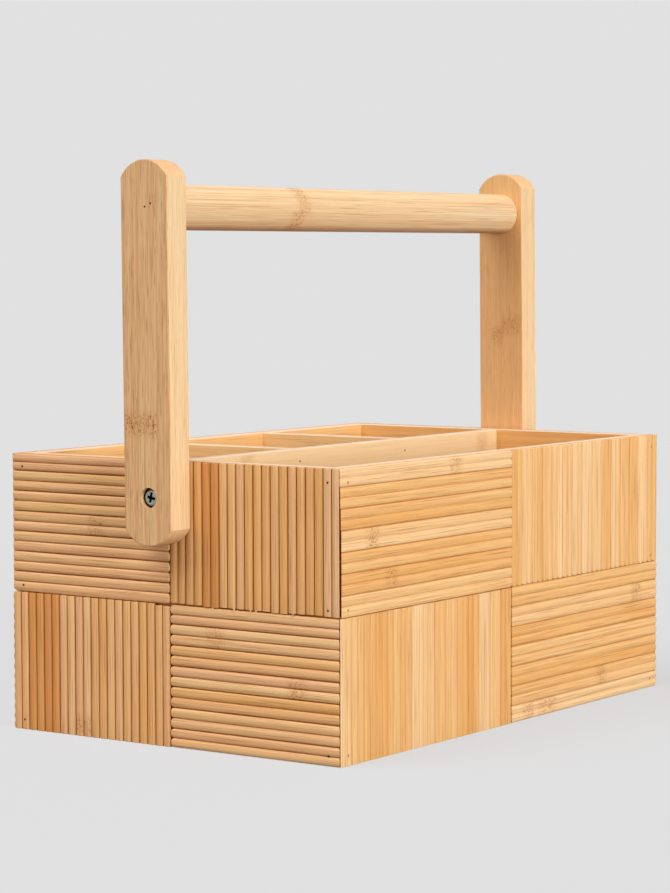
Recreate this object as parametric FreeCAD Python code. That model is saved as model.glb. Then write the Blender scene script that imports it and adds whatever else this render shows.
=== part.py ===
import FreeCAD, Part

import math
import os

# A utensil caddy of glued bamboo: an open box with one long divider and two cross
# dividers, clad outside with a chequered pattern of fluted slats, and carried by a
# swing handle of two flat arms and a round bar.
#
# Frame, in millimetres: X runs along the box and the handle bar, Y across the box
# with the front at -Y, and Z up. The origin is the middle of the underside.

os.makedirs("parts", exist_ok=True)

Vector = FreeCAD.Vector
X_AXIS = Vector(1, 0, 0)
Z_AXIS = Vector(0, 0, 1)
ORIGIN = Vector(0, 0, 0)
QUARTER_TURN = 90.0

# ---- Box ----
box_length = 308.0           # outside, over the slats, along X
box_width = 203.0            # outside, over the slats, along Y
box_height = 140.6           # underside to rim
wall_thickness = 7.0         # the four plain boards behind the slats
floor_thickness = 5.0
divider_thickness = 6.0
rear_cells = 3               # compartments behind the long divider
board_ease = 0.4             # rounding of the upper edges of walls and dividers

# ---- Fluted slats ----
slat_thickness = 3.5
slat_width = 10.25           # one slat, two flutes wide
flutes_per_slat = 2
flute_depth = 0.75           # valley below crest
slat_gap = 0.06              # glue line between neighbouring slats
seam_gap = 0.3               # open line between two tiles
corner_gap = 0.15            # each mitre stands back from the true corner
narrowest_slat = 0.25        # a remainder below this share of a slat widens the last one

# ---- Handle ----
arm_thickness = 15.0
arm_width = 28.6
arm_set_back = 0.5           # middle of the arm behind the pivot
arm_end_rise = 8.2           # height of the arc at either end of an arm
arm_edge_ease = 0.6          # rounding of the arm's long edges
handle_lean = 0.47           # degrees that the resting handle leans to the rear
pivot_below_rim = 17.0
arm_foot = 23.5              # pivot to the lower end of the arm
pivot_to_bar = 140.0
bar_to_arm_top = 22.8
bar_diameter = 22.3
bar_end_ease = 1.2

# ---- Pivot screw and washer ----
screw_length = 38.0          # below the head
shank_diameter = 4.0         # smooth part, which the arm turns on
thread_diameter = 3.2        # part that bites into wall and divider
screw_tip_length = 4.0
head_diameter = 8.2
head_height = 2.7
head_ease = 1.3              # rounding of the pan head's rim
recess_span = 5.6            # cross recess, tip to tip at the surface
recess_slot = 1.5            # width of each wing of the cross recess
recess_depth = 1.9
recess_floor_span = 2.4
recess_turn = 12.0           # degrees that the cross stands turned
counterbore_diameter = 10.0
counterbore_depth = 4.6
head_play = 0.12             # axial play under the screw head
pivot_clearance = 0.06       # radial, arm on shank
washer_diameter = 10.0
washer_thickness = 0.6
washer_play = 0.1            # axial play between washer and arm

# ---- Nails ----
nail_diameter = 1.1
corner_nail_length = 20.0
divider_nail_length = 18.0
bar_nail_length = 30.0
bar_nail_spread = 3.8        # between the two nails in one arm
bar_nail_tilt = 23.0         # degrees that the pair leans from level
bar_nail_forward = 1.8       # middle of the pair ahead of the bar's axis
bar_nail_rise = 0.8          # middle of the pair above the bar's axis
rim_nail_inset = 6.5         # first nail below the rim
seam_nail_inset = 3.5        # second nail above the middle seam
base_nail_inset = 5.0        # third nail above the underside or the floor
fixing_clearance = 0.02      # radial, round nails and threads

# ---- Worked out ----
shell_thickness = wall_thickness + slat_thickness
inner_length = box_length - 2 * shell_thickness
inner_width = box_width - 2 * shell_thickness
frame_length = box_length - 2 * slat_thickness
frame_width = box_width - 2 * slat_thickness
seam_height = box_height / 2
pivot_height = box_height - pivot_below_rim
bar_height = pivot_height + pivot_to_bar
arm_inner_x = box_length / 2 + washer_thickness + washer_play
arm_outer_x = arm_inner_x + arm_thickness
head_seat_x = arm_outer_x - counterbore_depth + head_play
corner_nail_inset = slat_thickness + wall_thickness / 2
pin_length = slat_thickness + wall_thickness / 4
rim_nail_height = box_height - rim_nail_inset
seam_nail_height = seam_height + seam_nail_inset
face_nail_heights = [rim_nail_height, seam_nail_height, base_nail_inset]
divider_nail_heights = [rim_nail_height, seam_nail_height, floor_thickness + base_nail_inset]
cell_length = (inner_length - (rear_cells - 1) * divider_thickness) / rear_cells

# Each face of the box: its name, its turn about Z from the front, its half length
# and how far its slats' crests stand from the middle.
faces = [
    ("front", 0, box_length / 2, box_width / 2),
    ("right_end", 1, box_width / 2, box_length / 2),
    ("rear", 2, box_length / 2, box_width / 2),
    ("left_end", 3, box_width / 2, box_length / 2),
]


def save(shape, node):
    shape.exportStep("parts/" + node + ".step")


def save_group(solids, node):
    save(Part.makeCompound(solids), node)


def block(x_low, x_high, y_low, y_high, z_low, z_high):
    corner = Vector(x_low, y_low, z_low)
    return Part.makeBox(x_high - x_low, y_high - y_low, z_high - z_low, corner)


def rod(diameter, length, start, direction):
    return Part.makeCylinder(diameter / 2, length, start, direction)


def polygon_face(points):
    return Part.Face(Part.makePolygon(points + [points[0]]))


def turned(shape, quarter_turns):
    copy = shape.copy()
    copy.rotate(ORIGIN, Z_AXIS, QUARTER_TURN * quarter_turns)
    return copy


def mirrored(shape):
    """The same shape at the other end of the box."""
    return shape.mirror(ORIGIN, X_AXIS)


def drilled(shape, tools):
    """Cut every tool whose box meets the shape's."""
    for tool in tools:
        if shape.BoundBox.intersect(tool.BoundBox):
            shape = shape.cut(tool)
    return shape


def level_edges_at(shape, height):
    """The edges that lie flat at one height."""
    found = []
    for edge in shape.Edges:
        box = edge.BoundBox
        if box.ZLength < 1e-6 and abs(box.ZMin - height) < 1e-6:
            found.append(edge)
    return found


def eased_board(x_low, x_high, y_low, y_high, z_low):
    """An upright board with both of its long upper edges rounded."""
    board = block(x_low, x_high, y_low, y_high, z_low, box_height)
    long_side = max(x_high - x_low, y_high - y_low)
    edges = []
    for edge in level_edges_at(board, box_height):
        if abs(edge.Length - long_side) < 1e-6:
            edges.append(edge)
    return board.makeFillet(board_ease, edges)


# ---- Nails, pins and their holes ----

def nail_set(face, inset, length, widening):
    """Nails at both vertical edges of one face, driven straight in."""
    name, turns, half_length, crest = face
    nails = []
    for side in (-1, 1):
        for height in face_nail_heights:
            start = Vector(side * (half_length - inset), -crest, height)
            nail = rod(nail_diameter + 2 * widening, length, start, Vector(0, 1, 0))
            nails.append(turned(nail, turns))
    return nails


def all_edge_nails(widening):
    """Long nails join the end walls to the long ones; short pins hold the long faces' slats."""
    corner_nails = []
    pins = []
    for face in faces:
        if face[0].endswith("end"):
            corner_nails += nail_set(face, corner_nail_inset, corner_nail_length, widening)
        else:
            pins += nail_set(face, corner_nail_inset, pin_length, widening)
    return corner_nails, pins


def divider_x(index):
    """Middle of one cross divider."""
    first = -inner_length / 2 + cell_length + divider_thickness / 2
    return first + index * (cell_length + divider_thickness)


def divider_nails(widening):
    """Nails through the long divider into each cross divider's end."""
    nails = []
    for index in range(rear_cells - 1):
        for height in divider_nail_heights:
            start = Vector(divider_x(index), -divider_thickness / 2, height)
            diameter = nail_diameter + 2 * widening
            nails.append(rod(diameter, divider_nail_length, start, Vector(0, 1, 0)))
    return nails


def bar_nails(widening):
    """Two nails at each end, through the arm into the end of the bar."""
    nails = []
    for side in (-1, 1):
        reach = side * bar_nail_spread / 2
        tilt = math.radians(bar_nail_tilt)
        start = Vector(
            -arm_outer_x,
            reach * math.cos(tilt) - bar_nail_forward,
            bar_height - reach * math.sin(tilt) + bar_nail_rise,
        )
        nail = rod(nail_diameter + 2 * widening, bar_nail_length, start, X_AXIS)
        nails.append(nail)
        nails.append(mirrored(nail))
    return nails


# ---- Pivot screws and washers, made at the left end ----

def cross_recess():
    """Four tapering wings that meet in the middle of the head."""
    wings = []
    for turn in (0, QUARTER_TURN):
        sections = []
        for span, depth in ((recess_span, 0), (recess_floor_span, recess_depth)):
            x = -depth
            corners = [
                Vector(x, -span / 2, -recess_slot / 2),
                Vector(x, span / 2, -recess_slot / 2),
                Vector(x, span / 2, recess_slot / 2),
                Vector(x, -span / 2, recess_slot / 2),
            ]
            sections.append(Part.makePolygon(corners + [corners[0]]))
        wing = Part.makeLoft(sections, True)
        wing.rotate(ORIGIN, X_AXIS, turn + recess_turn)
        wings.append(wing)
    return wings[0].fuse(wings[1])


def screw_shape(widening):
    """Pan-head wood screw with its head outward at the right end, before mirroring."""
    axis = Vector(-1, 0, 0)
    seat = Vector(head_seat_x, 0, pivot_height)
    smooth_end_x = box_length / 2
    tip_x = head_seat_x - screw_length
    thread_length = smooth_end_x - tip_x - screw_tip_length
    thread_radius = thread_diameter / 2 + widening
    smooth = rod(shank_diameter, head_seat_x - smooth_end_x, seat, axis)
    thread_start = Vector(smooth_end_x, 0, pivot_height)
    thread = rod(2 * thread_radius, thread_length, thread_start, axis)
    tip_start = Vector(tip_x + screw_tip_length, 0, pivot_height)
    tip = Part.makeCone(thread_radius, 0, screw_tip_length, tip_start, axis)
    return smooth.fuse([thread, tip])


def pivot_screw():
    head = rod(head_diameter, head_height, ORIGIN, X_AXIS)
    rim = [edge for edge in head.Edges if edge.BoundBox.XMin > head_height / 2]
    head = head.makeFillet(min(head_ease, head_height / 2), rim)
    recess = cross_recess()
    recess.translate(Vector(head_height, 0, 0))
    head = head.cut(recess)
    head.translate(Vector(head_seat_x, 0, pivot_height))
    return head.fuse(screw_shape(0)).removeSplitter()


def pivot_washer():
    start = Vector(box_length / 2, 0, pivot_height)
    disc = rod(washer_diameter, washer_thickness, start, X_AXIS)
    hole = rod(shank_diameter + 2 * fixing_clearance, washer_thickness, start, X_AXIS)
    return disc.cut(hole)


def screw_holes():
    """Clearance for both screws in slats, walls and the long divider."""
    hole = screw_shape(fixing_clearance)
    return [hole, mirrored(hole)]


# ---- Fluted slats, made in the front face's frame ----

def tile_prism(half_length, crest, side, z_low, z_high):
    """Room for one tile, square at the middle seam and mitred at the corner."""
    seam = side * seam_gap / 2
    corner = side * (half_length - corner_gap)
    mitre = side * (half_length - slat_thickness - corner_gap)
    points = [
        Vector(seam, -crest, z_low),
        Vector(corner, -crest, z_low),
        Vector(mitre, -crest + slat_thickness, z_low),
        Vector(seam, -crest + slat_thickness, z_low),
    ]
    return polygon_face(points).extrude(Vector(0, 0, z_high - z_low))


def slat_bands(extent):
    """Near and far edge of each slat, laid outward from the seam."""
    count = max(1, int(extent / slat_width + 1 - narrowest_slat))
    bands = []
    for index in range(count):
        near = index * slat_width
        far = near + slat_width
        if index == count - 1:
            far = max(far, extent + slat_gap)
        bands.append((near + slat_gap / 2, far - slat_gap / 2))
    return bands


def slat_section(near, far, place):
    """Flat back and sides, and one shallow arch for each flute."""
    valley = slat_thickness - flute_depth
    flute = (far - near) / flutes_per_slat
    edges = [
        Part.makeLine(place(near, valley), place(near, 0)),
        Part.makeLine(place(near, 0), place(far, 0)),
        Part.makeLine(place(far, 0), place(far, valley)),
    ]
    for index in range(flutes_per_slat):
        start = far - index * flute
        arch = Part.Arc(
            place(start, valley),
            place(start - flute / 2, slat_thickness),
            place(start - flute, valley),
        )
        edges.append(arch.toShape())
    return Part.Face(Part.Wire(Part.__sortEdges__(edges)))


def level_slats(half_length, crest, side, row):
    """Slats that lie level, stacked away from the middle seam."""
    start = side * seam_gap / 2

    def place(along, depth):
        height = seam_height + row * (seam_gap / 2 + along)
        return Vector(start, -crest + slat_thickness - depth, height)

    run = Vector(side * (half_length - seam_gap / 2), 0, 0)
    bands = slat_bands(seam_height - seam_gap / 2)
    return [slat_section(near, far, place).extrude(run) for near, far in bands]


def upright_slats(half_length, crest, side, row):
    """Slats that stand upright, side by side away from the middle seam."""
    start = seam_height + row * seam_gap / 2

    def place(along, depth):
        across = side * (seam_gap / 2 + along)
        return Vector(across, -crest + slat_thickness - depth, start)

    run = Vector(0, 0, row * (seam_height - seam_gap / 2))
    bands = slat_bands(half_length - seam_gap / 2)
    return [slat_section(near, far, place).extrude(run) for near, far in bands]


def make_tiles(holes):
    """Four tiles on each face, level and upright by turns like a chessboard."""
    for name, turns, half_length, crest in faces:
        for row, row_name in ((1, "upper"), (-1, "lower")):
            for side, side_name in ((-1, "left"), (1, "right")):
                if row * side < 0:
                    slats = level_slats(half_length, crest, side, row)
                else:
                    slats = upright_slats(half_length, crest, side, row)
                z_low = seam_height + seam_gap / 2 if row > 0 else 0
                z_high = box_height if row > 0 else seam_height - seam_gap / 2
                room = tile_prism(half_length, crest, side, z_low, z_high)
                solids = []
                for slat in slats:
                    placed = turned(slat.common(room), turns)
                    solids += drilled(placed, holes).Solids
                save_group(solids, name + "_tile_" + row_name + "_" + side_name)


# ---- Boards ----

def make_walls(holes):
    """End walls run the full width; the long walls stand between them."""
    inner_x = inner_length / 2
    inner_y = inner_width / 2
    end_wall = eased_board(inner_x, frame_length / 2, -frame_width / 2, frame_width / 2, 0)
    save(drilled(end_wall, holes), "right_end_wall")
    save(drilled(mirrored(end_wall), holes), "left_end_wall")
    front_wall = eased_board(-inner_x, inner_x, -frame_width / 2, -inner_y, 0)
    save(drilled(front_wall, holes), "front_wall")
    save(drilled(turned(front_wall, 2), holes), "rear_wall")


def make_floor():
    half_x = inner_length / 2
    half_y = inner_width / 2
    save(block(-half_x, half_x, -half_y, half_y, 0, floor_thickness), "floor_board")


def make_dividers(holes):
    half_x = inner_length / 2
    half_thickness = divider_thickness / 2
    long_divider = eased_board(-half_x, half_x, -half_thickness, half_thickness, floor_thickness)
    save(drilled(long_divider, holes), "long_divider")
    for index in range(rear_cells - 1):
        middle = divider_x(index)
        cross_divider = eased_board(
            middle - half_thickness,
            middle + half_thickness,
            half_thickness,
            inner_width / 2,
            floor_thickness,
        )
        save(drilled(cross_divider, holes), "cross_divider_" + str(index + 1))


# ---- Handle ----

def arm_outline():
    """A long rectangle whose two ends are shallow arcs, on the arm's inner face."""
    front = arm_set_back - arm_width / 2
    back = arm_set_back + arm_width / 2
    low = pivot_height - arm_foot
    high = bar_height + bar_to_arm_top
    low_front = Vector(arm_inner_x, front, low + arm_end_rise)
    low_back = Vector(arm_inner_x, back, low + arm_end_rise)
    high_front = Vector(arm_inner_x, front, high - arm_end_rise)
    high_back = Vector(arm_inner_x, back, high - arm_end_rise)
    lowest = Vector(arm_inner_x, arm_set_back, low)
    highest = Vector(arm_inner_x, arm_set_back, high)
    edges = [
        Part.makeLine(low_front, high_front),
        Part.Arc(high_front, highest, high_back).toShape(),
        Part.makeLine(high_back, low_back),
        Part.Arc(low_back, lowest, low_front).toShape(),
    ]
    return Part.Face(Part.Wire(edges))


def leaned(shape):
    """The handle as it rests, turned a little to the rear about its pivots."""
    copy = shape.copy()
    copy.rotate(Vector(0, 0, pivot_height), X_AXIS, -handle_lean)
    return copy


def make_arms(nail_holes):
    arm = arm_outline().extrude(Vector(arm_thickness, 0, 0))
    rims = [edge for edge in arm.Edges if edge.BoundBox.XLength < 1e-6]
    arm = arm.makeFillet(min(arm_edge_ease, arm_thickness / 3), rims)
    inner = Vector(arm_inner_x, 0, pivot_height)
    bore = rod(shank_diameter + 2 * pivot_clearance, arm_thickness, inner, X_AXIS)
    seat = Vector(arm_outer_x - counterbore_depth, 0, pivot_height)
    counterbore = rod(counterbore_diameter, counterbore_depth, seat, X_AXIS)
    arm = arm.cut(bore).cut(counterbore)
    save(leaned(drilled(arm, nail_holes)), "right_handle_arm")
    save(leaned(drilled(mirrored(arm), nail_holes)), "left_handle_arm")


def make_bar(nail_holes):
    start = Vector(-arm_inner_x, 0, bar_height)
    bar = rod(bar_diameter, 2 * arm_inner_x, start, X_AXIS)
    ends = [edge for edge in bar.Edges if edge.BoundBox.XLength < 1e-6]
    bar = bar.makeFillet(bar_end_ease, ends)
    save(leaned(drilled(bar, nail_holes)), "handle_bar")


def main():
    corner_nails, pins = all_edge_nails(0)
    corner_holes, pin_holes = all_edge_nails(fixing_clearance)
    box_holes = corner_holes + pin_holes + screw_holes()
    make_tiles(box_holes)
    make_walls(box_holes)
    make_floor()
    make_dividers(screw_holes() + divider_nails(fixing_clearance))
    make_arms(bar_nails(fixing_clearance))
    make_bar(bar_nails(fixing_clearance))
    screw = pivot_screw()
    save(screw, "right_pivot_screw")
    save(mirrored(screw), "left_pivot_screw")
    washer = pivot_washer()
    save(washer, "right_pivot_washer")
    save(mirrored(washer), "left_pivot_washer")
    save_group(corner_nails, "corner_nails")
    save_group(pins, "slat_pins")
    save_group(divider_nails(0), "divider_nails")
    save_group([leaned(nail) for nail in bar_nails(0)], "handle_bar_nails")


main()
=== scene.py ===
import copy
import math
import random

import bpy
from mathutils import Matrix, Vector


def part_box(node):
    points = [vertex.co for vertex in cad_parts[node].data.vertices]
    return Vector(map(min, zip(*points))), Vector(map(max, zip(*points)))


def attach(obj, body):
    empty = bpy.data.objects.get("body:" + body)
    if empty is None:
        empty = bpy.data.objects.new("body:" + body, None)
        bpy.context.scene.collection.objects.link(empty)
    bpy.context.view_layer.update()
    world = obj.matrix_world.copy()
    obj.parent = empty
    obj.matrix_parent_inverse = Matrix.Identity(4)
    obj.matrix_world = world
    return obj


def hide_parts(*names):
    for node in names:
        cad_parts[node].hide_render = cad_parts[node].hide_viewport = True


bl_info = {
    "name": "Bamboo Caddy",
    "version": (1, 0, 0),
    "blender": (4, 5, 0),
    "location": "View3D > Sidebar > Caddy",
    "description": "Fluted slats, boards, swing handle and fixings of a bamboo utensil caddy",
    "category": "Object",
}

# All lengths are metres. X runs along the box and the handle bar, the front is at -Y
# and Z is up. The origin is the middle of the underside.

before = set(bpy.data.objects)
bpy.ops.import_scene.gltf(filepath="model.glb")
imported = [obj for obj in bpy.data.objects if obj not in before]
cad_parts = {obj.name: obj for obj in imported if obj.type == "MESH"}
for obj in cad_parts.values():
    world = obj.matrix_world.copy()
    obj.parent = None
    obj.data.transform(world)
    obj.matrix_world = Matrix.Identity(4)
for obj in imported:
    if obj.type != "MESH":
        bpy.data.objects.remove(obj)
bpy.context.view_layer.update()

MM = 0.001


def screen(*shown):
    """A colour given as it looks on screen, 0 to 255, turned into linear light."""
    parts = [part / 255 for part in shown]
    return tuple(p / 12.92 if p <= 0.04045 else ((p + 0.055) / 1.055) ** 2.4 for p in parts)


def sort_of(kind, **settings):
    """A sort of property that only lacks its name, description and default."""
    def filled_in(name, description, default):
        return kind(name=name, description=description, default=default, **settings)
    return filled_in


length = sort_of(bpy.props.FloatProperty, unit="LENGTH", precision=5)
focal_length = sort_of(bpy.props.FloatProperty, unit="CAMERA")
share = sort_of(bpy.props.FloatProperty, subtype="FACTOR", min=0.0)
angle = sort_of(bpy.props.FloatProperty, subtype="ANGLE")
whole_number = sort_of(bpy.props.IntProperty, subtype="UNSIGNED")
colour = sort_of(bpy.props.FloatVectorProperty, subtype="COLOR", min=0.0, max=1.0)
position = sort_of(bpy.props.FloatVectorProperty, subtype="TRANSLATION")
direction = sort_of(bpy.props.FloatVectorProperty, subtype="DIRECTION")


# ---- Sizes and colours that a user may change ----

class CaddySlatSizes(bpy.types.PropertyGroup):
    """Sizes of the fluted slats."""

    width: length("Slat Width", "One slat, two flutes wide", 10.25 * MM)
    thickness: length("Slat Thickness", "Flat back to crest", 3.5 * MM)
    glue_line: length("Glue Line", "Gap between neighbouring slats", 0.06 * MM)
    arch: length("Arch", "How much a flute falls from its middle to its edges", 0.6 * MM)
    valley: length("Valley", "Sharp groove between the two flutes of a slat", 0.8 * MM)
    edge_groove: length("Edge Groove", "Sharp groove between two slats", 1.8 * MM)
    groove_reach: share("Groove Reach", "Share of a flute's half that the grooves round off", 0.2)
    corner_share: share("Corner Share", "Share of its depth that a flute keeps at a box corner", 0.6)
    fingertip: length("Fingertip Radius", "Rounding of each flute's end, seen from outside", 1.7 * MM)
    butt_tip: length("Butt Tip Radius", "The same where slats end squarely", 0.7 * MM)
    open_tip: length("Open Tip Radius", "The same where each groove opens at the seam", 1.5 * MM)
    open_corner: length("Open Corner", "How far the joint at one front corner has opened", 1.3 * MM)
    end_ease: length("End Ease", "Rounding of the level slats' ends towards the face", 0.5 * MM)
    butt_ease: length("Butt Ease", "The same on the upright slats", 0.15 * MM)
    trimmed_ease: length("Trimmed Ease", "Rounding of the ends at rim and base", 0.2 * MM)
    sink: length("Sink", "How far a slat may sit below its neighbours", 0.08 * MM)
    bow: length("Bow", "How far a slat's middle may lie below its ends", 0.06 * MM)
    short_end: length("Short End", "How far a slat may stop short of the seam", 0.12 * MM)
    ragged_end: length("Ragged End", "The same where the ends were sawn roughly", 0.9 * MM)
    short_slat: length("Short Slat", "How far the shortest slats stop below the seam", 0.9 * MM)
    splinter: length("Splinter", "Width of a splinter at a rough sawn end", 1.2 * MM)
    seam_edge: length("Seam Edge", "Groove on the edge that lies along the seam", 0.25 * MM)
    # How dark the painted shade in the slats' grooves is, face by face.
    end_shade: share("End Shade", "How dark the grooves of the end faces are", 0.95)
    level_shade: share("Level Shade", "The same where the end faces' slats lie level", 0.62)
    front_shade: share("Front Shade", "How dark the grooves of the long faces are", 0.38)
    upright_shade: share("Upright Shade", "The same where the long faces' slats stand up", 0.6)
    end_rose: share("End Rose", "How pinkish the end faces may be", 0.7)
    front_rose: share("Front Rose", "How pinkish the long faces may be", 0.06)
    front_groove: share("Front Groove", "Depth of the long faces' grooves beside the ends'", 0.36)
    flute_tone: share("Flute Tone", "How much two flutes of one slat may differ", 0.10)
    upright_flute_tone: share("Upright Flute Tone", "The same on the long faces' upright slats", 0.12)
    first_trim: length("First Trim", "Taken off the first slat of some end tiles", 0.8 * MM)
    narrowest: share("Narrowest Slat", "A remainder below this share widens the last slat", 0.25)
    arch_power: share("Arch Power", "2 is an even arch, more is flatter in the middle", 2.2)
    seed: whole_number("Seed", "Chooses the slats' tones and faults", 11)


class CaddyFixingSizes(bpy.types.PropertyGroup):
    """Sizes of the nails and of the holes in the slats."""

    nail: length("Nail", "Diameter of a nail", 1.1 * MM)
    hole: length("Nail Hole", "Diameter of the hole that a nail leaves at the surface", 1.34 * MM)
    sunk: length("Sunk", "How far a nail's head lies below the flute's crest", 0.22 * MM)
    from_edge: length("From Edge", "Corner to the nails' line", 7.0 * MM)
    rim_nail: length("Rim Nail", "First nail below the rim", 6.5 * MM)
    seam_nail: length("Seam Nail", "Second nail above the middle seam", 3.5 * MM)
    base_nail: length("Base Nail", "Third nail above the underside", 5.0 * MM)
    end_reach: length("End Reach", "Length of the nails in the end faces", 20.0 * MM)
    pin_reach: length("Pin Reach", "Length of the pins in the long faces", 5.25 * MM)
    pivot_hole: length("Pivot Hole", "Hole for the handle's screw", 4.1 * MM)


class CaddyColours(bpy.types.PropertyGroup):
    """Colours of bamboo and metal."""

    cream: colour("Cream", "Palest slats", screen(253, 221, 170))
    straw: colour("Straw", "Most slats", screen(248, 206, 143))
    orange: colour("Orange", "Warm slats", screen(241, 188, 116))
    russet: colour("Russet", "Darkest slats", screen(224, 158, 94))
    rose: colour("Rose", "Pinkish slats", screen(244, 192, 150))
    streak: colour("Streak", "Darker lines of fibre", screen(210, 142, 78))
    # Painted shade for the slats' grooves: warm on their sides, as bounce light colours them, and
    # dark at their bottoms.
    warm_groove: colour("Warm Groove", "Sides of the valleys", screen(210, 125, 34))
    groove: colour("Groove", "Bottom of the deepest valleys", screen(112, 50, 3))
    # Also used for the painted shade along the bar's underside.
    mark: colour("Node Mark", "Dark flecks where a cane's joint was", screen(160, 92, 44))
    board: colour("Board", "Walls and dividers", screen(243, 207, 146))
    board_warm: colour("Warm Board", "Warm strips of walls and dividers", screen(245, 197, 130))
    divider: colour("Divider", "The long divider", screen(240, 215, 168))
    cross: colour("Cross Dividers", "The two short dividers", screen(247, 212, 156))
    # The rim colour is a painted highlight along the boards' top edges.
    rim: colour("Rim", "Sanded upper edges", screen(250, 228, 204))
    handle: colour("Handle", "Arms", screen(242, 218, 173))
    handle_warm: colour("Warm Handle", "Warm strips of the arms", screen(241, 206, 151))
    bar: colour("Bar", "Handle bar", screen(238, 217, 176))
    bar_warm: colour("Warm Bar", "Warm strips of the bar", screen(239, 207, 156))
    handle_face: colour("Handle Face", "Flat faces of the left arm", screen(239, 200, 150))
    far_face: colour("Far Face", "Flat faces of the right arm", screen(241, 193, 130))
    zinc: colour("Zinc", "Screw", screen(182, 190, 180))
    zinc_dull: colour("Dull Zinc", "Dull patches of the screw", screen(110, 118, 116))
    # Painted shade in the cross of the screw's head.
    recess: colour("Recess", "Bottom of the screw's cross", screen(14, 16, 15))
    steel: colour("Steel", "Washer", screen(190, 190, 188))
    steel_dull: colour("Dull Steel", "Dull patches of the washer", screen(120, 120, 120))
    nail: colour("Nail", "Darkened nail heads", screen(78, 44, 24))
    nail_dull: colour("Dull Nail", "Dull patches of the nails", screen(40, 26, 18))
    pin: colour("Pin", "Rust-brown pins in the long faces", screen(190, 122, 62))
    pin_dull: colour("Dull Pin", "Dull patches of the pins", screen(120, 74, 38))
    # Painted shade deep in the screw's hole in each arm.
    soot: colour("Soot", "Shade at the bottom of the screw's hole", screen(52, 32, 20))
    floor: colour("Floor", "Floor and backdrop", screen(225, 225, 225))


class CaddyStageSizes(bpy.types.PropertyGroup):
    """Camera, lamps and floor."""

    camera_at: position("Camera", "Where the camera stands", (-1.21944, -0.84768, 0.23928))
    yaw: angle("Yaw", "Turn of the view from +Y towards +X", math.radians(54.904))
    pitch: angle("Pitch", "How far the view looks down", math.radians(3.867))
    roll: angle("Roll", "Turn of the picture", math.radians(-0.155))
    lens: focal_length("Lens", "Focal length in millimetres", 112.97)
    sky: share("Sky", "Even light from all round", 0.455)
    sky_tint: colour("Sky Tint", "Colour of the even light", (1.0, 0.83, 0.74))
    window: share("Window", "Soft light on the long front", 3.39)
    window_from: direction("Window From", "Direction of that light", (-0.20, -0.975, 0.08))
    window_spread: angle("Window Spread", "Width of that light", math.radians(36))
    overhead: share("Overhead", "Soft light from above", 1.92)
    overhead_from: direction("Overhead From", "Direction of that light", (-0.48, 0.20, 0.85))
    overhead_spread: angle("Overhead Spread", "Width of that light", math.radians(50))
    bounce: colour("Bounce", "How the floor throws light back up", (0.155, 0.135, 0.108))
    floor_lit: colour("Lit Floor", "Floor that looks like the backdrop", (0.67, 0.725, 0.79))
    floor_half: length("Floor", "Half the floor's side", 12.0)
    fade_start: length("Fade Start", "Where the floor begins to turn into the backdrop", 0.6)
    fade_end: length("Fade End", "Where the floor has turned into the backdrop", 2.2)
    shadow: share("Shadow", "How much of the object's shadow the floor shows", 0.22)


# ---- Shader maths ----

# Outputs of the coordinate node and of the light path node.
FACING = 1
OWN_PLACE = 3
CAMERA_RAY = 0
GLOSSY_RAY = 3
CLEAR_RAY = 6


def arithmetic(operation, turned=False):
    """A method that joins a wire and any other value in one maths node."""
    def method(self, *others):
        values = (*others, self) if turned else (self, *others)
        return self.shader.node("ShaderNodeMath", {"operation": operation}, *values)
    return method


class Wire:
    """A value socket that takes part in plain arithmetic."""

    __add__ = arithmetic("ADD")
    __radd__ = arithmetic("ADD", turned=True)
    __sub__ = arithmetic("SUBTRACT")
    __rsub__ = arithmetic("SUBTRACT", turned=True)
    __mul__ = arithmetic("MULTIPLY")
    __rmul__ = arithmetic("MULTIPLY", turned=True)
    __truediv__ = arithmetic("DIVIDE")
    __abs__ = arithmetic("ABSOLUTE")
    floor = arithmetic("FLOOR")
    fract = arithmetic("FRACT")
    root = arithmetic("SQRT")

    def __init__(self, shader, socket):
        self.shader = shader
        self.socket = socket

    def spread(self, kind, low, high):
        settings = {"interpolation_type": kind, "clamp": True}
        return self.shader.node("ShaderNodeMapRange", settings, self, low, high, 0.0, 1.0)

    def ramp(self, low, high):
        """0 below low, 1 above high and straight between."""
        return self.spread("LINEAR", low, high)

    def smooth(self, low, high):
        """0 below low, 1 above high and eased between."""
        return self.spread("SMOOTHSTEP", low, high)

    def within(self, low, high, fade):
        """1 between low and high, fading out over a little to either side of them."""
        return self.smooth(low - fade, low + fade) * (1.0 - self.smooth(high - fade, high + fade))


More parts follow.
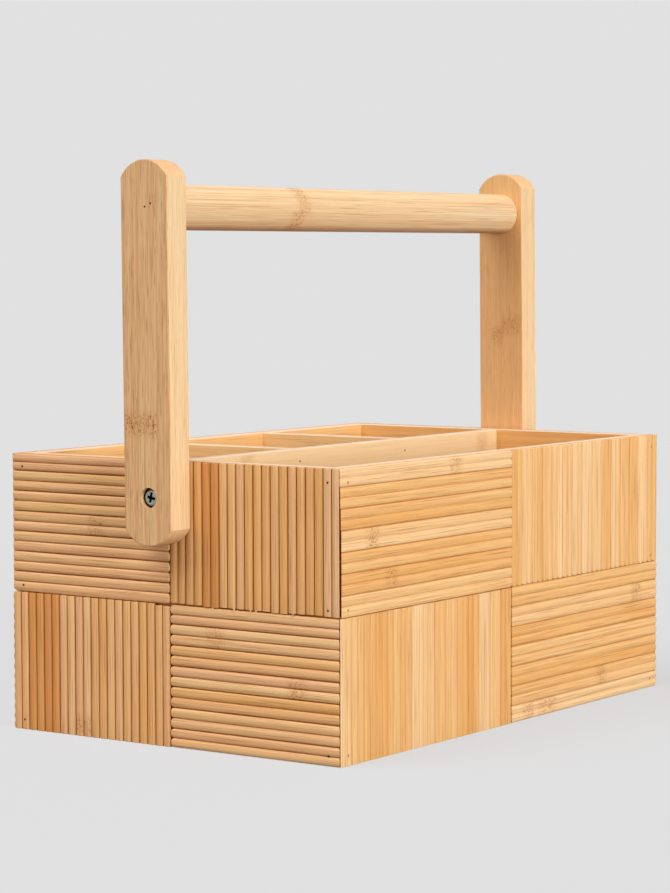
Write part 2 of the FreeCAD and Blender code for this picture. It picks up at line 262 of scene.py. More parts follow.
class Shader:
    """The node tree of one material or world."""

    def __init__(self, owner):
        owner.use_nodes = True
        self.tree = owner.node_tree
        self.tree.nodes.clear()

    def node(self, kind, settings, *values, output=0, **named):
        """Add one node. Settings come first, then socket values or links in order or by name."""
        made = self.tree.nodes.new(kind)
        stops = settings.get("stops")
        for key, value in settings.items():
            if key != "stops":
                setattr(made, key, value)
        if stops:
            self.set_stops(made.color_ramp, stops)
        open_inputs = [socket for socket in made.inputs if socket.enabled]
        for socket, value in zip(open_inputs, values):
            self.join(socket, value)
        for key, value in named.items():
            label = key.replace("_", " ").title().replace("Ior", "IOR")
            self.join(next(s for s in open_inputs if s.name.title() == label.title()), value)
        open_outputs = [socket for socket in made.outputs if socket.enabled]
        return Wire(self, open_outputs[output]) if open_outputs else made

    def join(self, socket, value):
        if isinstance(value, Wire):
            self.tree.links.new(value.socket, socket)
        elif value is not None:
            full = tuple(value) + (1.0,) if socket.type == "RGBA" and len(value) == 3 else value
            socket.default_value = full

    def set_stops(self, ramp, stops):
        while len(ramp.elements) < len(stops):
            ramp.elements.new(1.0)
        for element, (place, tint) in zip(ramp.elements, stops):
            element.position = place
            element.color = tuple(tint) + (1.0,)

    def mix(self, factor, first, second):
        """Blend two colours."""
        settings = {"data_type": "RGBA", "clamp_factor": True}
        return self.node("ShaderNodeMix", settings, factor, first, second)

    def noise(self, place, waves, detail=2.0, roughness=0.5, distortion=0.0):
        """Noise with its own number of waves to the metre in each direction."""
        scaled = self.node("ShaderNodeVectorMath", {"operation": "MULTIPLY"}, place, waves)
        settings = {"noise_dimensions": "3D", "normalize": True}
        return self.node(
            "ShaderNodeTexNoise", settings, scaled,
            scale=1.0, detail=detail, roughness=roughness, distortion=distortion,
        )

    def coordinates(self, kind):
        """The place on the piece, or the way that it faces, as a vector and its three parts."""
        whole = self.node("ShaderNodeTexCoord", {}, output=kind)
        return whole, [self.node("ShaderNodeSeparateXYZ", {}, whole, output=k) for k in range(3)]

    def attribute(self, name, output):
        """Output 0 is a colour, 1 a vector and 2 a value."""
        settings = {"attribute_name": name, "attribute_type": "GEOMETRY"}
        return self.node("ShaderNodeAttribute", settings, output=output)

    def surface(self, shader):
        self.node("ShaderNodeOutputMaterial", {}, shader)


def new_material(name):
    made = bpy.data.materials.new(name)
    made.use_backface_culling = False
    return made, Shader(made)


def finish_surface(shader, tint, roughness, height, bump_strength, depth, **fixed):
    """The one Principled shader at the end of a material."""
    bump = shader.node("ShaderNodeBump", {}, strength=bump_strength, distance=depth, height=height)
    fixed.update(base_color=tint, roughness=roughness, normal=bump)
    shader.surface(shader.node("ShaderNodeBsdfPrincipled", {}, **fixed))


# ---- Bamboo and metal ----

# Waves to the metre: along the grain, across it and through it.
WIDE_STREAKS = (3.0, 520.0, 520.0)
FINE_STREAKS = (5.0, 1500.0, 1500.0)
DASHES = (28.0, 2100.0, 2100.0)
CURLS = (260.0, 480.0, 480.0)
CURL_BREAKS = (600.0, 900.0, 900.0)
SLAT_CLOUDS = (9.0, 150.0, 150.0)
BOARD_CLOUDS = (7.0, 60.0, 60.0)
DULL_PATCHES = (900.0, 900.0, 900.0)
SCRATCHES = (300.0, 4000.0, 900.0)

# Between these two values of the noise a pattern fades in.
STREAK_FADE = (0.38, 0.62)
DASH_FADE = (0.57, 0.70)
CURL_FADE = (0.02, 0.075)
BREAK_FADE = (0.40, 0.50)
DULL_FADE = (0.35, 0.75)

# Between these two tones pinkish bamboo fades out, and between these two shares of a
# groove's painted shade its sides and its bottom fade in.
ROSE_FADE = (0.45, 0.8)
GROOVE_SIDE_FADE = (0.0, 0.75)
GROOVE_BOTTOM_FADE = (0.6, 0.95)

# How level a sawn end lies, how far below its top a rim's painted highlight reaches and how
# far above its lowest line the painted shade on the bar's underside reaches.
SAWN_FADE = (0.25, 0.8)
RIM_FADE = (0.5 * MM, 0.1 * MM)
UNDERSIDE_SHADE_FADE = (0.6 * MM, 3.0 * MM)

# How far from a cane's joint its flecks and the darker ground under them fade out.
FLECK_REACH = (1.5 * MM, 8.0 * MM)
HALO_REACH = (1.0 * MM, 9.0 * MM)

# How strongly each layer of colour shows.
SLAT_FIBRES = 0.42
SLAT_HALO = 0.16
SLAT_FLECKS = 0.54
# The painted shade on the grooves' sides.
GROOVE_SIDE_SHADE = 0.95
BOARD_FIBRES = 0.32
DIVIDER_FIBRES = 0.12
BAR_FIBRES = 0.46
ARM_EDGE_FIBRES = 0.26
LEFT_FACE_FIBRES = 0.35               # added on the arm's flat faces
RIGHT_FACE_FIBRES = 0.08
BOARD_HALO = 0.25
FLECKS_PER_FIBRES = 1.4
GLUE_LINES = 0.30
FLAT_FACES = 0.8
SAWN_GRAIN = 0.4
# Painted shade under the bar and a painted highlight on the boards' rims.
UNDERSIDE_SHADE = 0.55
RIM_HIGHLIGHT = 0.75

STRIP_SHIFT = 0.37                    # keeps a strip's edge off the middle of a board
STRIP_TONE = 0.55                     # how far a strip, and a cloud on it, may shift the tone
CLOUD_TONE = 0.9
PALER_BY = 0.25
GLUE_WIDTH = 0.14 * MM
FLAT_FADE = 0.3 * MM                  # at the edges of an arm's flat faces
JOINT_FADE = 1.5 * MM                 # at the edges of a cane's joint
# Painted shade fills a sunk hole; these say how softly it begins.
HOLE_EDGE = 0.1 * MM                  # how softly a sunk hole's shade begins, aside and down
HOLE_FADE = 0.5 * MM
BAMBOO_ROUGHNESS = 0.14               # added by the streaks
GROOVE_ROUGHNESS = 0.2
DULL_PATCH = 0.6
SCRATCH_ROUGHNESS = 0.2
RECESS_ROUGHNESS = 0.4

# Width of the strips that the boards are glued up from.
WALL_STRIP = 22 * MM
DIVIDER_STRIP = 34 * MM
FLOOR_STRIP = 19 * MM
ARM_STRIP = 7.4 * MM
BAR_STRIP = 60 * MM

# How much finer the fibres are along, across and through the handle's wood.
ARM_FINER = (3.0, 1.0, 1.45)
BAR_FINER = (1.0, 1.3, 1.3)

# A joint of the cane: its place along the grain and the part of the last axis that it spans.
DIVIDER_JOINTS = ((-94 * MM, 120 * MM, 140 * MM), (128 * MM, 110 * MM, 140 * MM))
LEFT_ARM_JOINTS = ((159 * MM, -6 * MM, 20 * MM),)
RIGHT_ARM_JOINTS = ((200 * MM, -12 * MM, 1 * MM), (194 * MM, 0.0, 7 * MM))
BAR_JOINTS = ((-53 * MM, 262 * MM, 400 * MM), (-58 * MM, 200 * MM, 262 * MM))

ARM_FACE_INSET = 0.2 * MM             # the edges of the arm's flat faces stay plain
# The painted shade in the screw's hole in each arm: its radius, and its depth below the arm's face.
SUNK_HOLE_RADIUS = 5.1 * MM
SUNK_HOLE_DEPTH = 2.4 * MM
# The painted shade in the screw's cross: its radius, and its depth below the head's top.
CROSS_RADIUS = 2.95 * MM              # round the cross in the screw's head
CROSS_DEPTH = 0.15 * MM


def fibre_pattern(shader, grain, finer=(1.0, 1.0, 1.0)):
    """Long soft streaks and short dark dashes that run with the grain."""
    def fibres(waves, **settings):
        return shader.noise(grain, [w * f for w, f in zip(waves, finer)], **settings)

    wide = fibres(WIDE_STREAKS, detail=3.0, roughness=0.6)
    fine = fibres(FINE_STREAKS, roughness=0.65)
    dash = fibres(DASHES, detail=1.0)
    return (wide * 0.45 + fine * 0.55).ramp(*STREAK_FADE), dash.ramp(*DASH_FADE)


def node_fleck(shader, grain, offset):
    """Small curly dashes crowded round one joint of the cane, offset away along the grain."""
    curl = shader.noise(grain, CURLS, detail=1.0, distortion=1.6)
    line = 1.0 - abs(curl - 0.5).ramp(*CURL_FADE)
    broken = shader.noise(grain, CURL_BREAKS, detail=1.0).ramp(*BREAK_FADE)
    band = 1.0 - abs(offset).smooth(*FLECK_REACH)
    halo = 1.0 - abs(offset).smooth(*HALO_REACH)
    return line * broken * band, halo


def slat_bamboo(tints):
    """Bamboo of the slats, which carry their own grain, tone, valley and node attributes. The valley
    attribute carries painted shade for the grooves.
    """
    material, shader = new_material("slat_bamboo")
    grain = shader.attribute("grain", 1)
    tone = shader.attribute("tone", 2)
    rose = shader.attribute("rose", 2)
    valley = shader.attribute("valley", 2)
    offset = shader.attribute("node_offset", 2)
    clouds = shader.noise(grain, SLAT_CLOUDS) - 0.5
    stops = [(0.0, tints.cream), (0.38, tints.straw), (0.68, tints.orange), (1.0, tints.russet)]
    tint = shader.node("ShaderNodeValToRGB", {"stops": stops}, tone + clouds * 0.5)
    streak, dash = fibre_pattern(shader, grain)
    fleck, halo = node_fleck(shader, grain, offset)
    for amount, layer in (
        (rose * (1.0 - tone.ramp(*ROSE_FADE)), tints.rose),
        (streak * SLAT_FIBRES, tints.streak),
        (dash * SLAT_FIBRES, tints.mark),
        (halo * SLAT_HALO, tints.streak),
        (fleck * SLAT_FLECKS, tints.mark),
        # Painted shade in the grooves: warm on their sides and dark at their bottoms.
        (valley.ramp(*GROOVE_SIDE_FADE) * GROOVE_SIDE_SHADE, tints.warm_groove),
        (valley.ramp(*GROOVE_BOTTOM_FADE), tints.groove),
    ):
        tint = shader.mix(amount, tint, layer)
    roughness = 0.46 + streak * BAMBOO_ROUGHNESS + valley * GROOVE_ROUGHNESS
    height = 1.0 - (streak + dash + fleck) * 0.4
    finish_surface(shader, tint, roughness, height, 0.4, 0.12 * MM, specular_ior_level=0.12)
    return material


class Board:
    """The finish of glued bamboo, in strips that differ a little, laid on layer by layer."""

    def __init__(self, name, tints, order, strip, pale, warm, strips_along=2):
        """Order names the axes, the grain's first, and strips_along picks one by its number."""
        self.material, self.shader = new_material(name)
        self.tints = tints
        parts = self.shader.coordinates(OWN_PLACE)[1]
        self.parts = [parts["XYZ".index(letter)] for letter in order]
        self.grain = self.shader.node("ShaderNodeCombineXYZ", {}, *self.parts)
        self.through = self.parts[strips_along]
        self.flat = 1.0
        place = self.through / strip + STRIP_SHIFT
        settings = {"noise_dimensions": "1D"}
        of_strip = self.shader.node("ShaderNodeTexWhiteNoise", settings, w=place.floor())
        self.glue_line = abs(place.fract() - 0.5).smooth(0.5 - GLUE_WIDTH / strip, 0.5)
        clouds = self.shader.noise(self.grain, BOARD_CLOUDS)
        tone = (of_strip * STRIP_TONE + clouds * CLOUD_TONE - PALER_BY).ramp(0.0, 1.0)
        self.tint = self.shader.mix(tone, pale, warm)

    def layer(self, amount, tint):
        self.tint = self.shader.mix(amount, self.tint, tint)

    def flat_faces(self, low, high, tint):
        """Another colour on the faces that bound the board between low and high."""
        depth = abs(self.through)
        inner = depth.smooth(low, low + FLAT_FADE)
        self.flat = 1.0 - inner * (1.0 - depth.smooth(high - FLAT_FADE, high))
        self.layer(self.flat * FLAT_FACES, tint)

    def fibres(self, strength, finer=(1.0, 1.0, 1.0)):
        self.strength = strength
        self.streak, self.dash = fibre_pattern(self.shader, self.grain, finer)
        self.layer(self.streak * strength, self.tints.streak)
        self.layer(self.dash * strength, self.tints.mark)
        self.layer(self.glue_line * GLUE_LINES, self.tints.mark)

    def cane_joints(self, joints):
        """Flecks at some places along the grain, each between two places on the last axis."""
        for place, low, high in joints:
            fleck, halo = node_fleck(self.shader, self.grain, self.parts[0] - place)
            window = self.parts[2].within(low, high, JOINT_FADE) * self.flat
            self.layer(halo * window * BOARD_HALO, self.tints.streak)
            self.layer(fleck * window * (self.strength * FLECKS_PER_FIBRES), self.tints.mark)

    def sawn_ends(self):
        """Darker end grain where the piece faces up or down."""
        up = self.shader.coordinates(FACING)[1][2]
        self.layer(abs(up).smooth(*SAWN_FADE) * SAWN_GRAIN, self.tints.streak)

    def underside(self, lowest):
        # Painted shade along the bar's underside.
        low, high = (lowest + fade for fade in UNDERSIDE_SHADE_FADE)
        self.layer((1.0 - self.parts[2].smooth(low, high)) * UNDERSIDE_SHADE, self.tints.mark)

    def sanded_rim(self, top):
        # A painted highlight along the top edge.
        low, high = (top - fade for fade in RIM_FADE)
        self.layer(self.parts[2].smooth(low, high) * RIM_HIGHLIGHT, self.tints.rim)

    def sunk_hole(self, radius, height, deeper_than):
        # Painted shade deep in the screw's hole.
        self.layer(pivot_shade(self.shader, radius, height, deeper_than), self.tints.soot)

    def finished(self):
        roughness = 0.44 + self.streak * BAMBOO_ROUGHNESS
        height = 1.0 - (self.streak + self.dash) * 0.5
        finish_surface(
            self.shader, self.tint, roughness, height, 0.2, 0.1 * MM, specular_ior_level=0.3
        )
        return self.material


def pivot_shade(shader, radius, height, deeper_than):
    """Mask of painted shade: 1 inside a round recess about the handle's axis, deeper than one face,
    at either end.
    """
    x, y, z = shader.coordinates(OWN_PLACE)[1]
    up = z - height
    near = 1.0 - (y * y + up * up).root().smooth(radius - HOLE_EDGE, radius)
    return near * (1.0 - abs(x).smooth(deeper_than - HOLE_FADE, deeper_than))


def brushed_metal(name, tint, dull, roughness, metallic, recess=None):
    """Plated steel with fine scratches and dull patches. A recess shade gives the shape and the
    colour of painted shade in a recess.
    """
    material, shader = new_material(name)
    place = shader.coordinates(OWN_PLACE)[0]
    patches = shader.noise(place, DULL_PATCHES, detail=3.0)
    scratches = shader.noise(place, SCRATCHES)
    tint = shader.mix(patches.ramp(*DULL_FADE) * DULL_PATCH, tint, dull)
    rough = roughness + scratches * SCRATCH_ROUGHNESS
    if recess is not None:
        # Painted shade in the cross recess of the screw's head.
        shape, shade = recess
        sunk = pivot_shade(shader, *shape)
        tint = shader.mix(sunk, tint, shade)
        rough = rough + sunk * RECESS_ROUGHNESS
    finish_surface(shader, tint, rough, scratches, 0.25, 0.05 * MM, metallic=metallic)
    return material


# ---- Slats ----

# The sort of bamboo of each slat, from the seam outward. Any leaves its tone to chance.
SLAT_SORTS = {
    "front_tile_upper_left": "light orange orange light orange orange pale",
    "front_tile_upper_right": (
        "orange light any any light light light pale light orange light any any pale"
    ),
    "front_tile_lower_left": (
        "deep any pale deep deep any any light pale any any deep orange any light"
    ),
    "front_tile_lower_right": "any light orange any orange any pale",
    "left_end_tile_upper_left": "light light light light light light light",
    "left_end_tile_upper_right": "orange orange russet any any orange any orange deep pale",
    "left_end_tile_lower_left": "any orange any any orange light light russet russet",
    "left_end_tile_lower_right": "light light any light orange light",
}

# Tones run from the palest bamboo, 0, to the darkest, 1. Those left to chance vary round
# a middle tone, and less so on the faces whose slats are chosen above.
SORT_TONES = {"pale": 0.04, "light": 0.22, "orange": 0.56, "deep": 0.68, "russet": 0.92}
WARM_TILES = ("left_end_tile_upper_right", "left_end_tile_lower_left")
MIDDLE_TONE = 0.42
WARM_MIDDLE_TONE = 0.52
CHOSEN_SPREAD = 0.05
CHANCE_SPREAD = 0.16
DARKEST_CHANCE_TONE = 0.85
ALIKE_BELOW_TONE = 0.2                # the two flutes of paler slats are more alike

# The outer flute of these slats is paler than the inner one by this share.
SPLIT_SLATS = {("front_tile_lower_left", 14): 0.2}
SHORT_SLATS = (("left_end_tile_lower_left", 0), ("rear_tile_lower_right", 4))
RAGGED_TILES = ("left_end_tile_upper_right", "rear_tile_upper_right")

# Tiles whose slats have rounder ends at the seam, so each groove opens there.
OPEN_TILES = (
    "front_tile_upper_right",
    "front_tile_lower_right",
    "rear_tile_upper_right",
    "rear_tile_lower_right",
)

# Splinters at a rough sawn end: place across the tile and lean to the side, in millimetres.
SPLINTERS = {
    "left_end_tile_upper_right": ((26, 1.2), (39, 1.4), (49.5, -1.2), (52, 1.6), (74.5, -1.6)),
    "rear_tile_upper_right": ((34, 1.4), (88, -1.8)),
}

# Joints of the cane: the slat, counted outward from the seam, and how far along it from
# the seam, in millimetres.
CANE_JOINTS = {
    "front_tile_upper_left": ((3, 125.9), (1, 110.7), (6, 53.0)),
    "front_tile_lower_right": ((1, 130.7), (5, 92.2), (6, 16.2), (6, 39.5)),
    "left_end_tile_upper_left": ((3, 46.3),),
    "left_end_tile_lower_left": ((5, 65.0),),
    "left_end_tile_lower_right": ((1, 27.8), (3, 76.5)),
    "right_end_tile_upper_left": ((2, 61.0),),
    "right_end_tile_lower_right": ((4, 30.0),),
    "rear_tile_upper_left": ((2, 88.0), (5, 31.0)),
    "rear_tile_upper_right": ((9, 40.0),),
    "rear_tile_lower_right": ((3, 112.0), (1, 47.0)),
}
FAR_FROM_JOINT = 0.5                  # stands for a slat without one

FLUTES = 2
FLUTE_STEPS = 12                      # segments across one flute
FLUTE_BLEND = 0.4 * MM                # width over which two flutes' tones meet
RING_SPACING = 11.0 * MM              # between cross-sections along a slat
END_STEPS = (0.0, 0.12, 0.38, 0.7, 1.0)
CORNER_GAP = 0.15 * MM                # the slats stop this far short of the box's true corner
DEEPEST = 0.7                         # share of the thickness that a groove never passes

# A slow and a quick wave along a slat, as height and length, keep it from looking machined.
SLOW_WAVE = (0.35, 19 * MM)
QUICK_WAVE = (0.25, 7.3 * MM)
WHOLE_TURN = 6.28
SINK_WAVER = 0.3
DEPTH_WAVER = 0.12

# The grain of each slat starts somewhere else in one long piece of noise.
GRAIN_SHIFT = 40.0
SIDE_SHIFT = 0.37

# The painted shade of a groove begins this far down the arch and deepens over half a valley.
SHADE_START = 1.0
UPRIGHT_END_SHADE_START = 0.6
SHADE_MARGIN = 0.1
SHADE_RATE = 2

# The eased edge at a box corner is bare of that shade.
BARE_EDGE = 0.7 * MM
BARE_FADE = 0.5 * MM
SURFACE_DEPTH = 2 * MM

# The joint at the front left corner is open beside the seam and closes outward.
OPEN_AT_UPRIGHTS = 0.25
CLOSED_AT_SLAT = 6
OPENS_OVER_SLATS = 3

# A splinter runs from inside its slat out over the seam and gets thinner.
SPLINTER_STEPS = (0.0, 0.35, 0.7, 1.0)
SPLINTER_ROOT = 1.6 * MM
SPLINTER_LENGTH = 3.0 * MM
SPLINTER_DEPTH = 0.34 * MM
SPLINTER_RISE = 0.24 * MM
SPLINTER_TAPER = 0.5
SPLINTER_BACK = 0.6                   # width of its back beside its front

CUTTER_SIDES = 20
CUTTER_DEPTHS = (-1.0 * MM, 5.0 * MM)
SHARP_SLAT_EDGE = math.radians(48)
SHARP_NAIL_EDGE = math.radians(40)

# A nail's head as shares of its radius, with how far each ring lies below the rim.
NAIL_SIDES = 14
NAIL_HEAD = ((0.30, 0.10 * MM), (0.62, 0.03 * MM), (0.88, 0.0), (1.0, 0.10 * MM))
NAIL_TAPER = 1.5 * MM
NAIL_TIP = 0.15                       # radius of the tip beside the shank's


class Face:
    """One side of the box, drawn as if it were the front and then turned about Z."""

    def __init__(self, name, quarter_turns):
        low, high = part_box(name + "_tile_upper_left")
        low_right, high_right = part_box(name + "_tile_upper_right")
        self.name = name
        self.turn = Matrix.Rotation(quarter_turns * math.pi / 2, 4, "Z")
        back = self.turn.inverted()
        corners = [back @ Vector(c) for c in (low, high, low_right, high_right)]
        self.crest = max(-c.y for c in corners)
        self.half = max(abs(c.x) for c in corners) + CORNER_GAP
        self.seam_half = min(abs(c.x) for c in corners)
        self.rim = high.z
        self.seam = low.z - self.seam_half


FACES = [Face("front", 0), Face("right_end", 1), Face("rear", 2), Face("left_end", 3)]


def slat_edges(extent, sizes, trimmed):
    """Near and far edge of each slat, laid outward from the seam. The first may be trimmed."""
    count = max(1, int((extent + trimmed) / sizes.width + 1 - sizes.narrowest))
    edges = []
    for index in range(count):
        near = max(0.0, index * sizes.width - trimmed)
        far = (index + 1) * sizes.width - trimmed
        if index == count - 1:
            far = max(far, extent + sizes.glue_line)
        edges.append((near + sizes.glue_line / 2, far - sizes.glue_line / 2))
    return edges


def clamp(value):
    return min(1.0, max(0.0, value))


def quarter_round(left):
    """Height that a unit quarter circle still lacks where this much of it is left to run."""
    return 1 - math.sqrt(max(0.0, 1 - left ** 2))


class Slat:
    """One slat as rings of points, from the seam outward."""

    def __init__(self, tile, index, near, far, sizes, chance, uneven):
        self.index = index
        self.near = near
        self.far = far
        self.sizes = sizes
        self.sink = chance.uniform(0, sizes.sink)
        self.short = chance.uniform(0, sizes.ragged_end if tile in RAGGED_TILES else sizes.short_end)
        if (tile, index) in SHORT_SLATS:
            self.short = sizes.short_slat
        self.bow = chance.uniform(0, sizes.bow)
        self.waver = chance.uniform(0, WHOLE_TURN)
        self.tone = self.pick_tone(tile, chance)
        uneven *= min(1.0, self.tone / ALIKE_BELOW_TONE)
        self.flute_tones = [chance.uniform(-1, 1) * uneven for k in range(FLUTES)]
        self.flute_tones[-1] -= SPLIT_SLATS.get((tile, index), 0.0)
        self.flute_roses = [chance.uniform(0, 1) for k in range(FLUTES)]
        self.grain_shift = chance.uniform(0, GRAIN_SHIFT)
        self.groove_share = 1.0 if "end" in tile else sizes.front_groove
        self.joints = [s * MM for number, s in CANE_JOINTS.get(tile, ()) if number == index]

    def pick_tone(self, tile, chance):
        """Place between the palest and the darkest bamboo, 0 to 1."""
        sorts = SLAT_SORTS.get(tile, "").split()
        sort = sorts[self.index] if self.index < len(sorts) else "any"
        if sort != "any":
            return SORT_TONES[sort]
        middle = WARM_MIDDLE_TONE if tile in WARM_TILES else MIDDLE_TONE
        spread = CHOSEN_SPREAD if tile in SLAT_SORTS else CHANCE_SPREAD
        return min(DARKEST_CHANCE_TONE, max(0.0, chance.gauss(middle, spread)))

    def flute_value(self, across, values):
        """The inner flute's value, the outer one's, or a blend where they meet."""
        blend = clamp(0.5 + (across - (self.near + self.far) / 2) / FLUTE_BLEND)
        inner, outer = values
        return inner * (1 - blend) + outer * blend

    def profile(self, at_corner):
        """Place across the slat, depth below the crest and place within the flute."""
        sizes = self.sizes
        flute = (self.far - self.near) / FLUTES
        points = []
        for number in range(FLUTES):
            for step in range(FLUTE_STEPS + 1):
                if number > 0 and step == 0:
                    continue
                within = math.sin(math.pi * (step / FLUTE_STEPS - 0.5))
                across = self.near + flute * (number + (within + 1) / 2)
                first_edge = number == 0 and within < 0
                last_edge = number == FLUTES - 1 and within > 0
                groove = sizes.edge_groove if first_edge or last_edge else sizes.valley
                if first_edge and self.index == 0:
                    groove = sizes.seam_edge
                past = max(0.0, abs(within) - 1 + sizes.groove_reach) / sizes.groove_reach
                depth = sizes.arch * abs(within) ** sizes.arch_power
                depth += self.groove_share * groove * quarter_round(past)
                if at_corner and last_edge:
                    depth *= sizes.corner_share
                points.append((across, depth, within * flute / 2))
        return points

    def tip(self, within, radius):
        """How far the rounded end of a flute stands back, seen from outside."""
        flute_half = (self.far - self.near) / FLUTES / 2
        past = max(0.0, abs(within) - (flute_half - radius)) / radius
        return radius * quarter_round(min(1.0, past))

    def wave(self, along):
        high, span = SLOW_WAVE
        slow = math.sin(self.waver + along / span) * high
        high, span = QUICK_WAVE
        return slow + math.sin(self.waver * 3 + along / span) * high

    def rings(self, start, end, eases, tips, end_mitred, side_limit):
        """Rings of (along, across, depth). The mitred end and side follow the depth."""
        thickness = self.sizes.thickness
        start_ease, end_ease = eases
        start_tip, end_tip = tips
        inner_count = max(2, int((end - start) / RING_SPACING))
        stations = [("start", step) for step in END_STEPS]
        stations += [("middle", k / inner_count) for k in range(1, inner_count)]
        stations += [("end", step) for step in reversed(END_STEPS)]
        outline = self.profile(side_limit is not None)
        made = []
        for kind, value in stations:
            front = []
            back = []
            for across, depth, within in outline:
                first = start + self.short + self.tip(within, start_tip)
                last = end - self.tip(within, end_tip)
                if kind == "start":
                    along = first + value * start_ease
                    lowered = start_ease * quarter_round(1 - value)
                elif kind == "end":
                    along = last - value * end_ease
                    lowered = end_ease * quarter_round(1 - value)
                else:
                    along = first + start_ease + value * (last - end_ease - first - start_ease)
                    lowered = 0.0
                wave = self.wave(along)
                lowered += self.sink * (1 + SINK_WAVER * wave) + depth * (1 + DEPTH_WAVER * wave)
                lowered += self.bow * (1 - (2 * along / (start + end) - 1) ** 2)
                lowered = min(lowered, thickness * DEEPEST)
                back_along = along
                if end_mitred and kind == "end":
                    along = along - lowered
                    back_along = along - (thickness - lowered)
                front.append((along, self.held(across, lowered, side_limit), lowered))
                back.append((back_along, self.held(across, thickness, side_limit), thickness))
            made.append((front, back))
        return made

    def held(self, across, depth, side_limit):
        """Keep the outermost slat inside the box's mitre."""
        return across if side_limit is None else min(across, side_limit - depth)


def slat_mesh(rings):
    """Points and faces of one closed slat."""
    count = len(rings[0][0])
    points = []
    faces = []
    for front, back in rings:
        points += front + back[::-1]
    ring = 2 * count
    for number in range(len(rings) - 1):
        for k in range(ring):
            low = number * ring
            nxt = (k + 1) % ring
            faces.append((low + k, low + nxt, low + ring + nxt, low + ring + k))
    for low, turned in ((0, False), ((len(rings) - 1) * ring, True)):
        for k in range(count - 1):
            quad = (low + k, low + ring - 1 - k, low + ring - 2 - k, low + k + 1)
            faces.append(quad[::-1] if turned else quad)
    return points, faces


def tube_sides(size, count, first=0):
    """Quads that join a number of rings of points, each ring of one size."""
    faces = []
    for number in range(count - 1):
        low = first + number * size
        for k in range(size):
            nxt = (k + 1) % size
            faces.append((low + k, low + size + k, low + size + nxt, low + nxt))
    return faces


def splinter_mesh(across, lean, width):
    """A thin tapered sliver that hangs from a slat's sawn end."""
    points = []
    for step in SPLINTER_STEPS:
        along = SPLINTER_ROOT - SPLINTER_LENGTH * step
        middle = across + lean * step ** 2
        half = width / 2 * (1 - SPLINTER_TAPER * step)
        front = SPLINTER_DEPTH - SPLINTER_RISE * step
        for side, depth in (
            (-half, front),
            (half, front),
            (half * SPLINTER_BACK, front + half),
            (-half * SPLINTER_BACK, front + half),
        ):
            points.append((along, middle + side, depth))
    faces = [(0, 1, 2, 3), (15, 14, 13, 12)] + tube_sides(4, len(SPLINTER_STEPS))
    return points, faces


def put_in_scene(name, data):
    made = bpy.data.objects.new(name, data)
    bpy.context.scene.collection.objects.link(made)
    return made


def new_mesh(name, points, faces):
    mesh = bpy.data.meshes.new(name)
    mesh.from_pydata(points, [], faces)
    return mesh


def shade_smooth(mesh, sharp_angle):
    """Smooth shading but for the edges that are sharper than an angle."""
    mesh.polygons.foreach_set("use_smooth", [True] * len(mesh.polygons))
    mesh.set_sharp_from_angle(angle=sharp_angle)


def circle(sides, radius):
    turns = [2 * math.pi * k / sides for k in range(sides)]
    return [(radius * math.cos(turn), radius * math.sin(turn)) for turn in turns]


def drill(mesh, cutters):
    """Cut round holes through one slat."""
    blank = put_in_scene("slat_blank", mesh)
    for cutter in cutters:
        cut = blank.modifiers.new("hole", "BOOLEAN")
        cut.operation = "DIFFERENCE"
        cut.solver = "EXACT"
        cut.object = cutter
    seen = blank.evaluated_get(bpy.context.evaluated_depsgraph_get())
    made = bpy.data.meshes.new_from_object(seen)
    for used in (blank, *cutters):
        bpy.data.objects.remove(used)
    return made


def round_cutter(along, across, radius):
    """A short drum that is taken out of a slat."""
    ring = circle(CUTTER_SIDES, radius)
    points = [(along + a, across + b, depth) for depth in CUTTER_DEPTHS for a, b in ring]
    faces = []
    for k in range(CUTTER_SIDES):
        nxt = (k + 1) % CUTTER_SIDES
        faces.append((k, nxt, CUTTER_SIDES + nxt, CUTTER_SIDES + k))
    faces.append(tuple(range(CUTTER_SIDES))[::-1])
    faces.append(tuple(range(CUTTER_SIDES, 2 * CUTTER_SIDES)))
    return put_in_scene("cutter", new_mesh("cutter", points, faces))


def nail_places(face, fixings):
    """Sideways place and height of each nail in one face, drawn as the front."""
    side_place = face.half - fixings.from_edge
    heights = (face.rim - fixings.rim_nail, face.seam + fixings.seam_nail, fixings.base_nail)
    return [(side * side_place, height) for side in (-1, 1) for height in heights]


